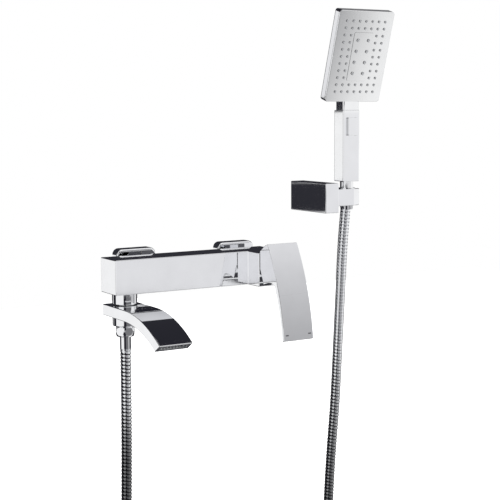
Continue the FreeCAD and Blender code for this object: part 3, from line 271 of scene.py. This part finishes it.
def makeChrome(name, color, hazeLow, hazeHigh, waveHeight):
    return startMaterial(
        name, polishHaze,
        {"color": (*color, 1), "hazeLow": hazeLow, "hazeHigh": hazeHigh, "waveHeight": waveHeight},
        {"Metallic": 1.0})


def makePlastic(name, color, spread, grainHeight, roughLow, roughHigh, **shader):
    return startMaterial(
        name, mouldGrain,
        {"color": (*color, 1), "spread": spread, "grainHeight": grainHeight, "roughLow": roughLow,
         "roughHigh": roughHigh},
        shader)


def makeNozzle(name, plateTilt, **settings):
    # The sides of each small cone lie in its recess, so their colour is darkened with painted shade: full at
    # the sides, none at the tip
    made = makePlastic(name, **settings)
    tree = made.node_tree
    shader = tree.nodes["Principled BSDF"]
    facing = tree.nodes.new("ShaderNodeVectorMath")
    facing.operation = "DOT_PRODUCT"
    tree.links.new(tree.nodes.new("ShaderNodeTexCoord").outputs["Normal"], facing.inputs[0])
    tilt = math.radians(plateTilt)
    facing.inputs[1].default_value = (0, -math.cos(tilt), -math.sin(tilt))
    tipFrom, tipTo, paintedSideShade = 0.90, 0.99, 0.42
    tip = rangeNode(tree, facing.outputs["Value"], tipFrom, tipTo, paintedSideShade, 1.0)
    plain = shader.inputs["Base Color"].links[0].from_socket
    tree.links.new(mixNode(tree, 1.0, plain, tip, "MULTIPLY"), shader.inputs["Base Color"])
    return made


def makeTurned(name, color, tarnish, tarnishShare, roughLow, roughHigh):
    return startMaterial(
        name, turnedMetal,
        {"color": (*color, 1), "tarnish": (*tarnish, 1), "tarnishShare": tarnishShare, "roughLow": roughLow,
         "roughHigh": roughHigh},
        {"Metallic": 1.0})


# Chrome: name, colour, haze from and to, height of the waves in the surface
chromeBrass = makeChrome("chromeOnBrass", (0.87, 0.875, 0.89), 0.015, 0.04, 0.000004)
chromePlastic = makeChrome("chromeOnPlastic", (0.88, 0.885, 0.895), 0.02, 0.05, 0.000006)
chromeLever = makeChrome("chromeLever", (0.87, 0.875, 0.89), 0.02, 0.05, 0.000004)
chromeBar = makeChrome("chromeBar", (0.87, 0.875, 0.89), 0.04, 0.06, 0.000001)
satinFace = makeChrome("satinFace", (0.88, 0.885, 0.89), 0.07, 0.10, 0.0000006)
# Turned metal: name, colour, tarnish and its share, roughness from and to
turnedBrass = makeTurned("turnedBrass", (0.82, 0.60, 0.27), (0.42, 0.24, 0.11), 0.4, 0.2, 0.38)
zincSteel = makeTurned("zincSteel", (0.66, 0.67, 0.69), (0.36, 0.36, 0.37), 0.3, 0.24, 0.4)
# Turned steel darkened almost to black: painted shade for the pieces that show in the gap under the lever
gapShadeSteel = makeTurned("gapShadeSteel", (0.10, 0.10, 0.105), (0.05, 0.045, 0.04), 0.4, 0.3, 0.45)
# Moulded: name, colour, spread of its shade, height of the grain, roughness from and to
whiteCeramic = makePlastic("whiteCeramic", (0.86, 0.85, 0.82), 0.03, 0.000004, 0.12, 0.2, IOR=1.6)
cartridgeGrey = makePlastic("cartridgePlastic", (0.30, 0.31, 0.33), 0.08, 0.00001, 0.38, 0.5)
sealRubber = makePlastic("sealRubber", (0.025, 0.025, 0.027), 0.1, 0.00002, 0.5, 0.68)
nozzleSilicone = makeNozzle("nozzleSilicone", plateTilt=16.9, color=(0.62, 0.63, 0.65),
                            spread=0.05, grainHeight=0.00001, roughLow=0.4, roughHigh=0.52)
valveWhite = makePlastic("valvePlastic", (0.74, 0.75, 0.75), 0.05, 0.00001, 0.36, 0.46)
markEnamel = makePlastic("markEnamel", (0.09, 0.09, 0.10), 0.05, 0.00001, 0.3, 0.4)

finishes = {
    "chromed_brass": chromeBrass,
    "chromed_plastic": chromePlastic,
    "brass": turnedBrass,
    "steel": zincSteel,
    "ceramic": whiteCeramic,
    "cartridge_plastic": cartridgeGrey,
    "seal_rubber": sealRubber,
    "silicone": nozzleSilicone,
    "face_plastic": satinFace,
    "valve_plastic": valveWhite,
    "mark_enamel": markEnamel,
}


def dressNodes():
    # Each part takes the finish of its own slot, and a few take one of their own
    for node in cadNodes.values():
        slotName = node.data.materials[0].name.split(".")[0]
        if slotName in finishes:
            node.data.materials[0] = finishes[slotName]
    cadNodes["lever_handle"].data.materials[0] = chromeLever
    cadNodes["mixer_body"].data.materials[0] = chromeBar
    # The cartridge nut and the lever stem take near-black steel as painted shade of the gap under the lever
    for name in ("cartridge_nut", "lever_stem"):
        cadNodes[name].data.materials[0] = gapShadeSteel
    cadNodes["neck_washer"].data.materials[0] = sealRubber


dressNodes()
print("finishes made")


# Two turned pieces under the body whose rounded edges show: the hose nut and the neck sleeve

hoseNut = {
    "centre": (-0.1130, -0.0570),
    "bottom": -0.0674,
    "top": -0.0538,
    "flats": 0.0230,
    "middleRadius": 0.0127,
    "bottomDrop": 0.0020,      # how far the rounding falls in at each end
    "topDrop": 0.00175,
    "leastHalfFlat": 0.004,    # radians, where a flat has run out
    "boreRadius": 0.01064,
    "shoulder": -0.0656,
    "holeRadius": 0.0066,
    "rings": 28,
    "columns": 6,              # across each flat, and round each corner
}
neckSleeve = {
    "centre": (-0.1130, -0.0570),
    "bottom": -0.0265,
    "top": -0.0120,
    "radius": 0.0158,
    "footRadius": 0.0012,
    "footSteps": 6,
    "footLine": 0.0002,        # a short straight above the foot keeps the long side's shading even
    "boreRadius": 0.0125,
    "around": 96,
}
sharpAngle = math.radians(16)


def bandFaces(around, row, above):
    # The faces between two rings of points, each ring given by its first point's number
    faces = []
    for turn in range(around):
        after = (turn + 1) % around
        faces.append((row + turn, row + after, above + after, above + turn))
    return faces


def ringedObject(name, centre, rings):
    # Closed mesh from rings of (angle, radius, level), the last joined to the first
    points = [(centre[0] + math.cos(angle) * reach, centre[1] + math.sin(angle) * reach, level)
              for ring in rings for angle, reach, level in ring]
    around = len(rings[0])
    faces = []
    for number in range(len(rings)):
        faces += bandFaces(around, number * around, (number + 1) % len(rings) * around)
    made = meshObject(name, points, faces)
    made.data.set_sharp_from_angle(angle=sharpAngle)
    return made


def nutRing(settings, share, level):
    flat, corner, columns = settings["flats"] / 2, math.pi / 3, settings["columns"]
    drop = settings["topDrop" if share > 0 else "bottomDrop"]
    reach = settings["middleRadius"] - drop * share ** 2
    halfFlat = math.acos(flat / reach) if reach > flat else 0
    halfFlat = max(halfFlat, settings["leastHalfFlat"])
    ring = []
    for side in range(6):
        middle = corner * (side + 0.5)
        for column in range(columns):
            angle = halfFlat * (2 * column / columns - 1)
            ring.append((middle + angle, min(reach, flat / math.cos(angle)), level))
        for column in range(columns):
            ring.append((middle + halfFlat + (corner - 2 * halfFlat) * column / columns, reach, level))
    return ring


def makeHoseNut(settings):
    bottom, top = settings["bottom"], settings["top"]
    rings = []
    for number in range(settings["rings"] + 1):
        share = -math.cos(math.pi * number / settings["rings"])
        rings.append(nutRing(settings, share, (bottom + top) / 2 + share * (top - bottom) / 2))
    for reach, level in (("boreRadius", top), ("boreRadius", settings["shoulder"]),
                         ("holeRadius", settings["shoulder"]), ("holeRadius", bottom)):
        rings.append([(angle, settings[reach], level) for angle, _, _ in rings[-1]])
    return ringedObject("hose_nut_rounded", settings["centre"], rings)


def makeNeckSleeve(settings):
    foot, radius, bore = settings["footRadius"], settings["radius"], settings["boreRadius"]
    bottom, top = settings["bottom"], settings["top"]
    profile = []
    for step in range(settings["footSteps"] + 1):
        angle = math.pi * step / (2 * settings["footSteps"])
        profile.append((radius - foot + foot * math.sin(angle), bottom + foot - foot * math.cos(angle)))
    profile += [(radius, bottom + foot + settings["footLine"]), (radius, top), (bore, top), (bore, bottom)]
    angles = [2 * math.pi * turn / settings["around"] for turn in range(settings["around"])]
    rings = [[(angle, reach, level) for angle in angles] for reach, level in profile]
    return ringedObject("neck_sleeve_rounded", settings["centre"], rings)


def fitTurnedPiece(made, node):
    made.data.materials.append(chromeBrass)
    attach(made, "root")
    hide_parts(node)


roundedNut = makeHoseNut(hoseNut)
fitTurnedPiece(roundedNut, "hose_nut")
fitTurnedPiece(makeNeckSleeve(neckSleeve), "neck_sleeve")
print("turned pieces made")


# The ribbed hose: one smooth curve from the hand shower, round the loop below, up to the mixer

hose = {
    "radius": 0.0069,
    "grooveDepth": (0.00035, 0.0014),     # at the hand shower, at the mixer
    "ribPitch": 0.0047,
    "stepsPerRib": 9,
    "around": 28,
    "plainEnd": 0.001,     # smooth stretch that goes into each fitting
    "plainFade": 0.003,
    "length": 1.452,
    "diameter": 0.0138,
    # share of the way along, and how deep the ribs are there, or how light the painted shade leaves the metal
    # there
    "ribChange": [(0, 0.1), (0.11, 0.15), (0.18, 0.8), (0.23, 1), (1, 1)],
    "paintedShadeAlong": [(0, 1), (0.15, 1), (0.2, 0.7), (0.25, 0.38), (0.3, 0.22), (0.9, 0.22),
                   (0.924, 0.42), (0.95, 1), (1, 1)],
    "shallowGrooveShade": 0.18,      # how much of the grooves' painted shade shows where the ribs are flattest
    "color": (0.82, 0.83, 0.85),
    "haze": (0.06, 0.11),
    # colour of the painted shade in the grooves, and where along the groove mask it starts and is full
    "grooveShadeColor": (0.02, 0.02, 0.023),
    "grooveShadeFrom": 0.12,
    "grooveShadeTo": 0.42,
    "grooveRoughness": 0.2,
}
hoseRoute = [
    (0.2220, -0.0660, 0.09575), (0.2194, -0.0660, 0.07205), (0.2151, -0.0658, 0.0260),
    (0.2127, -0.0650, -0.0380), (0.2093, -0.0639, -0.1100), (0.2059, -0.0629, -0.1900),
    (0.1999, -0.0622, -0.2580), (0.1959, -0.0617, -0.3220), (0.1931, -0.0610, -0.4020),
    (0.1868, -0.0602, -0.4860), (0.1624, -0.0594, -0.5660), (0.1040, -0.0586, -0.6270),
    (0.0380, -0.0580, -0.6450), (-0.0280, -0.0576, -0.6270), (-0.0880, -0.0574, -0.5680),
    (-0.1139, -0.0576, -0.4840), (-0.1178, -0.0580, -0.3920), (-0.1153, -0.0574, -0.2860),
    (-0.1130, -0.0570, -0.1754), (-0.1130, -0.0570, -0.0834),
]


def splineLine(points):
    data = bpy.data.curves.new("hoseLine", "CURVE")
    data.dimensions = "3D"
    data.resolution_u = 40      # fine enough for the ribs to follow
    spline = data.splines.new("NURBS")
    spline.points.add(len(points) - 1)
    for point, place in zip(spline.points, points):
        point.co = (*place, 1)
    spline.order_u = 3
    spline.use_endpoint_u = True
    holder = bpy.data.objects.new("hoseLine", data)
    scene.collection.objects.link(holder)
    bpy.context.view_layer.update()
    mesh = bpy.data.meshes.new_from_object(holder.evaluated_get(bpy.context.evaluated_depsgraph_get()))
    line = [vertex.co.copy() for vertex in mesh.vertices]
    bpy.data.objects.remove(holder)
    bpy.data.meshes.remove(mesh)
    bpy.data.curves.remove(data)
    return line


def evenSteps(line, count):
    # Points the same distance apart along a line, and the line's length
    reach = [0.0]
    for before, after in zip(line, line[1:]):
        reach.append(reach[-1] + (after - before).length)
    total = reach[-1]
    places, number = [], 0
    for step in range(count + 1):
        goal = total * step / count
        while number < len(line) - 2 and reach[number + 1] < goal:
            number += 1
        span = reach[number + 1] - reach[number]
        places.append(line[number].lerp(line[number + 1], (goal - reach[number]) / span))
    return places, total


def valueBetween(value, stops):
    for (place, level), (nextPlace, nextLevel) in zip(stops, stops[1:]):
        if value <= nextPlace:
            return level + (nextLevel - level) * (value - place) / (nextPlace - place)
    return stops[-1][1]


def makeHose(settings, route):
    line = splineLine(route)
    length = sum((after - before).length for before, after in zip(line, line[1:]))
    ribs = round(length / settings["ribPitch"])
    steps = ribs * settings["stepsPerRib"]
    places, length = evenSteps(line, steps)
    steady = Vector((0, 1, 0))      # away from the wall, which the hose hangs almost parallel to
    around, shallow = settings["around"], settings["shallowGrooveShade"]
    shallowDepth, deepDepth = settings["grooveDepth"]
    points, grooveShades, paintedShades = [], [], []
    for index, place in enumerate(places):
        ahead = places[min(index + 1, steps)] - places[max(index - 1, 0)]
        ahead.normalize()
        side = (steady - ahead * steady.dot(ahead)).normalized()
        across = ahead.cross(side)
        travelled = length * index / steps
        fromEnd = min(travelled, length - travelled)
        plain = min(1.0, max(0.0, (fromEnd - settings["plainEnd"]) / settings["plainFade"]))
        share = index / steps
        deep = valueBetween(share, settings["ribChange"])
        depth = shallowDepth + (deepDepth - shallowDepth) * deep
        for turn in range(around):
            angle = 2 * math.pi * turn / around
            # one start, wound like the real strip
            phase = (index / settings["stepsPerRib"] + turn / around) % 1.0
            swell = math.sqrt(max(0.0, 1 - (2 * phase - 1) ** 2))
            drop = depth * (1 - swell) * plain
            reach = settings["radius"] - drop
            points.append(place + side * math.cos(angle) * reach + across * math.sin(angle) * reach)
            # painted shade in each groove, weaker where the ribs are shallow
            grooveShades.append((1 - swell) * plain * (shallow + (1 - shallow) * deep))
            # painted shade along the hose, standing for the darker reflections on its lower stretches
            paintedShades.append(valueBetween(share, settings["paintedShadeAlong"]))
    faces = []
    for index in range(steps):
        faces += bandFaces(around, index * around, (index + 1) * around)
    faces.append(tuple(reversed(range(around))))
    faces.append(tuple(steps * around + turn for turn in range(around)))
    made = meshObject("ribbed_hose", points, faces)
    setPointValue(made, "groove", grooveShades)
    setPointValue(made, "shade", paintedShades)
    return made, places, length


def makeHoseMetal(settings):
    made = bpy.data.materials.new("hoseMetal")
    made.use_nodes = True
    tree = made.node_tree
    shader = tree.nodes["Principled BSDF"]
    shader.inputs["Metallic"].default_value = 1.0
    # Painted shade: the grooves between the ribs are darkened towards the groove shade colour
    depth = rangeNode(tree, attributeNode(tree, "groove"), settings["grooveShadeFrom"], settings["grooveShadeTo"],
                      0.0, 1.0, True)
    hazeLow, hazeHigh = settings["haze"]
    effect = placeGroup(tree, polishHaze, color=(*settings["color"], 1), hazeLow=hazeLow,
                        hazeHigh=hazeHigh, hazeScale=240.0, waveScale=400.0, waveHeight=0.00001)
    # Painted shade: the metal's colour is darkened by the shade painted along the hose
    rib = mixNode(tree, 1.0, effect.outputs["color"], attributeNode(tree, "shade"), "MULTIPLY")
    tree.links.new(mixNode(tree, depth, rib, (*settings["grooveShadeColor"], 1)), shader.inputs["Base Color"])
    grooveRough = mathNode(tree, "MULTIPLY", depth, settings["grooveRoughness"])
    rough = mathNode(tree, "ADD", effect.outputs["roughness"], grooveRough)
    tree.links.new(rough, shader.inputs["Roughness"])
    tree.links.new(effect.outputs["normal"], shader.inputs["Normal"])
    return made


ribbedHose, hosePath, hoseLength = makeHose(hose, hoseRoute)
ribbedHose.data.materials.append(makeHoseMetal(hose))
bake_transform(ribbedHose)
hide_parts("shower_hose")
print("hose made:", round(hoseLength, 4), "m")


# Studio: pale floor, soft lamps, white background, and cards that the chrome reflects

studio = {
    "floorLevel": -0.70,
    "floorSize": 8.0,
    "floorColor": (0.86, 0.86, 0.87),
    "floorRoughness": 0.7,
    "worldGrey": 0.55,      # how strongly the background lights the object
    "worldWhite": 1.0,      # how bright it looks
    "cardDistance": 3.0,
    "cardStep": 0.01,       # how much nearer each next card is
    "lamps": [
        # name, place, aim, size, power
        ("keyLamp", (-1.6, -2.4, 2.2), (0.05, -0.08, 0.0), 2.2, 38.0),
        ("fillLamp", (2.4, -2.0, 1.2), (0.05, -0.08, 0.0), 2.4, 18.0),
        ("backLamp", (0.4, 2.2, 2.4), (0.05, -0.08, 0.0), 2.0, 16.0),
    ],
    "cards": [
        # name, azimuth from and to (0 behind the object, 90 to its right), elevation from and to,
        # shade at the bottom and at the top, soft edge in degrees; a later card hides an earlier one
        ("flagBehindHigh", -31, 71, 4.7, 14.5, 0.03, 0.03, 0.3),
        ("flagBehindHighRight", -24, 71, 1.2, 5.2, 0.03, 0.03, 0.3),
        ("flagBehindHighLeft", -100, -41, 4.5, 14.5, 0.03, 0.03, 1.0),
        ("flagBehindTop", -100, 75, 13.5, 78.0, 0.03, 0.02, 0.5),
        ("flagLeftBehind", -63, -34.5, -4.5, -0.9, 0.02, 0.02, 0.3),
        ("flagLeftBehindLow", -69, -34.6, -58, -4.2, 0.02, 0.02, 0.3),
        ("flagBehind", -25.8, 31.5, -27, 2.4, 0.02, 0.02, 0.3),
        ("flagRight", 30, 52, -27, 2.4, 0.03, 0.03, 1.0),
        ("flagRightLow", 48, 80, -27, -4.5, 0.03, 0.03, 1.0),
        ("flagRightLower", 50, 97, -58, -10.5, 0.04, 0.04, 0.5),
        ("flagBehindLower", -35, 36, -58, -26, 0.02, 0.02, 0.5),
        ("flagGapLow", -35, -25, -28, -14.5, 0.02, 0.02, 0.3),
        ("flagLeftLower", -86, -62, -58, -13.2, 0.02, 0.02, 0.5),
        ("flagLeftUpper", -86, -62, -4.8, 5.0, 0.02, 0.02, 0.5),
        ("flagBelow", -180, 92, -89, -57, 0.06, 0.06, 2.0),
        ("flagBelowFront", 142, 180, -89, -57, 0.06, 0.06, 2.0),
        ("spotEscutcheon", 20, 36, -6.6, -5.2, 0.14, 0.14, 0.2),
        ("spotBracketSide", -36, -25.5, -3.5, -1.1, 0.03, 0.03, 0.2),
        ("spotBracketEdge", -31.6, -25.5, -1.3, 4.3, 0.03, 0.03, 0.2),
        ("spotNeckSide", -36, -18, 4.1, 5.3, 0.02, 0.02, 0.1),
        ("spotHeadSide", -37, -30, 5.2, 12.5, 0.86, 0.88, 0.3),
        ("spotHeadTop", 34, 54, 25, 36, 0.20, 0.20, 0.6),
        ("faceShade", 135.3, 154, -40, -9, 0.36, 0.36, 6.0),
        ("flagCamera", 195, 217, -58, 70, 0.02, 0.02, 0.3),
        ("flagFerrule", 216, 234, -58, -10.4, 0.03, 0.03, 0.3),
        ("flagNeck", 186, 196, -9.8, -8.4, 0.02, 0.02, 0.2),
        ("spotConnector", 212, 246, -2.6, -1.2, 0.02, 0.02, 0.1),
        ("spotHandleCorner", 160, 217, -1.25, 4.6, 0.80, 0.80, 0.1),
        ("flagFrontRightLower", 159.7, 195.3, -58, -13.0, 0.45, 0.45, 0.2),
        ("flagFrontRight", 159.7, 195.3, -13.5, -1.25, 0.17, 0.17, 0.2),
        ("flagFrontRightTop", 159.7, 195.3, 4.5, 30, 0.17, 0.17, 0.5),
        ("spotMirror", 159.5, 217.5, -8.3, -5.0, 0.94, 0.94, 0.1),
        ("flagFrontLow", 146, 160, -40, -8.5, 0.21, 0.21, 0.3),
        ("flagFrontNeck", 97, 146.3, -11.3, -8.5, 0.58, 0.58, 0.2),
        ("flagFrontFerrule", 97, 133, -15, -11.2, 0.25, 0.25, 0.2),
        ("bodyCard", 145.7, 160, -8.8, -3.2, 0.84, 0.84, 0.2),
        ("bracketCard", 138, 144.6, -4, 4.5, 0.86, 0.90, 0.2),
        ("leverCardLow", 144.2, 152, -3.5, 19, 0.47, 0.62, 0.2),
        ("leverCardHigh", 128, 156, 18, 60, 0.61, 1.0, 0.2),
        ("spotUnderBand", 150.5, 160, 5, 22, 0.10, 0.10, 0.3),
        ("flagSpoutEnd", 30, 60, -56, -43, 0.05, 0.05, 1.0),
        ("spotHubUnder", 45.2, 62, -44, -39.4, 0.06, 0.06, 0.2),
    ],
}


def lookAt(made, target):
    away = Vector(target) - made.location
    made.rotation_euler = away.to_track_quat("-Z", "Y").to_euler()


def makeLamps(settings):
    for name, place, aim, size, power in settings["lamps"]:
        data = bpy.data.lights.new(name, "AREA")
        data.shape = "SQUARE"
        data.size = size
        data.energy = power
        lamp = bpy.data.objects.new(name, data)
        lamp.location = place
        lookAt(lamp, aim)
        scene.collection.objects.link(lamp)
        lamp.visible_glossy = False


def seenDirectly(tree):
    # 1 for what the camera sees, by itself or in metal, and 0 for what lights the object
    path = tree.nodes.new("ShaderNodeLightPath")
    mirrored = mathNode(tree, "MAXIMUM", path.outputs["Is Glossy Ray"], path.outputs["Is Transmission Ray"])
    return mathNode(tree, "MAXIMUM", path.outputs["Is Camera Ray"], mirrored)


def makeWorld(settings):
    world = bpy.data.worlds.new("studioWorld")
    scene.world = world
    world.use_nodes = True
    tree = world.node_tree
    tree.nodes.clear()
    choose = tree.nodes.new("ShaderNodeMixShader")
    tree.links.new(seenDirectly(tree), choose.inputs[0])
    for index, strength in ((1, settings["worldGrey"]), (2, settings["worldWhite"])):
        background = tree.nodes.new("ShaderNodeBackground")
        background.inputs["Color"].default_value = (1, 1, 1, 1)
        background.inputs["Strength"].default_value = strength
        wire(tree, background, 0, choose, index)
    out = tree.nodes.new("ShaderNodeOutputWorld")
    wire(tree, choose, 0, out, "Surface")


def makeFloor(settings):
    half, level = settings["floorSize"] / 2, settings["floorLevel"]
    corners = [(-half, -half, level), (half, -half, level), (half, half, level), (-half, half, level)]
    floor = meshObject("studio_floor", corners, [(0, 1, 2, 3)], smooth=False)
    made = bpy.data.materials.new("paleFloor")
    made.use_nodes = True
    tree = made.node_tree
    shader = tree.nodes["Principled BSDF"]
    shader.inputs["Base Color"].default_value = (*settings["floorColor"], 1)
    shader.inputs["Roughness"].default_value = settings["floorRoughness"]
    shader.inputs["Emission Color"].default_value = (1, 1, 1, 1)
    tree.links.new(seenDirectly(tree), shader.inputs["Emission Strength"])
    floor.data.materials.append(made)
    floor.visible_glossy = False


def coolGrey(shade):
    return (shade, shade, shade * 1.01 + 0.007, 1)


def cardMaterial(name, low, high, softU, softV):
    made = bpy.data.materials.new(name)
    made.use_nodes = True
    tree = made.node_tree
    tree.nodes.clear()
    edges = []
    for share, soft in (("cardU", softU), ("cardV", softV)):
        fromMiddle = mathNode(tree, "ABSOLUTE", mathNode(tree, "SUBTRACT", attributeNode(tree, share), 0.5))
        edges.append(rangeNode(tree, mathNode(tree, "SUBTRACT", 0.5, fromMiddle), 0.0, soft, 0.0, 1.0, True))
    cover = mathNode(tree, "MULTIPLY", edges[0], edges[1])
    clear = tree.nodes.new("ShaderNodeBsdfTransparent")
    glow = tree.nodes.new("ShaderNodeEmission")
    shade = mixNode(tree, attributeNode(tree, "cardV"), coolGrey(low), coolGrey(high))
    tree.links.new(shade, glow.inputs["Color"])
    choose = tree.nodes.new("ShaderNodeMixShader")
    tree.links.new(cover, choose.inputs[0])
    wire(tree, clear, 0, choose, 1)
    wire(tree, glow, 0, choose, 2)
    out = tree.nodes.new("ShaderNodeOutputMaterial")
    wire(tree, choose, 0, out, "Surface")
    return made


def hideFromAllButGloss(made):
    made.visible_camera = False
    made.visible_diffuse = False
    made.visible_shadow = False
    made.visible_transmission = False
    made.visible_volume_scatter = False


def makeCard(name, azimuthFrom, azimuthTo, elevationFrom, elevationTo, low, high, soft, distance):
    across, upward = 24, 12
    points, shareU, shareV = [], [], []
    for row in range(upward + 1):
        elevation = math.radians(elevationFrom + (elevationTo - elevationFrom) * row / upward)
        for column in range(across + 1):
            azimuth = math.radians(azimuthFrom + (azimuthTo - azimuthFrom) * column / across)
            points.append((distance * math.sin(azimuth) * math.cos(elevation),
                           distance * math.cos(azimuth) * math.cos(elevation),
                           distance * math.sin(elevation)))
            shareU.append(column / across)
            shareV.append(row / upward)
    faces = []
    for row in range(upward):
        for column in range(across):
            first = row * (across + 1) + column
            faces.append((first, first + 1, first + across + 2, first + across + 1))
    card = meshObject(name, points, faces)
    setPointValue(card, "cardU", shareU)
    setPointValue(card, "cardV", shareV)
    softU = soft / (azimuthTo - azimuthFrom)
    softV = soft / (elevationTo - elevationFrom)
    card.data.materials.append(cardMaterial(name, low, high, min(0.5, softU), min(0.5, softV)))
    hideFromAllButGloss(card)


makeLamps(studio)
makeWorld(studio)
makeFloor(studio)
for number, card in enumerate(studio["cards"]):
    makeCard(*card, studio["cardDistance"] - studio["cardStep"] * number)
scene.view_settings.view_transform = "Standard"
print("studio made")

bpy.context.view_layer.update()
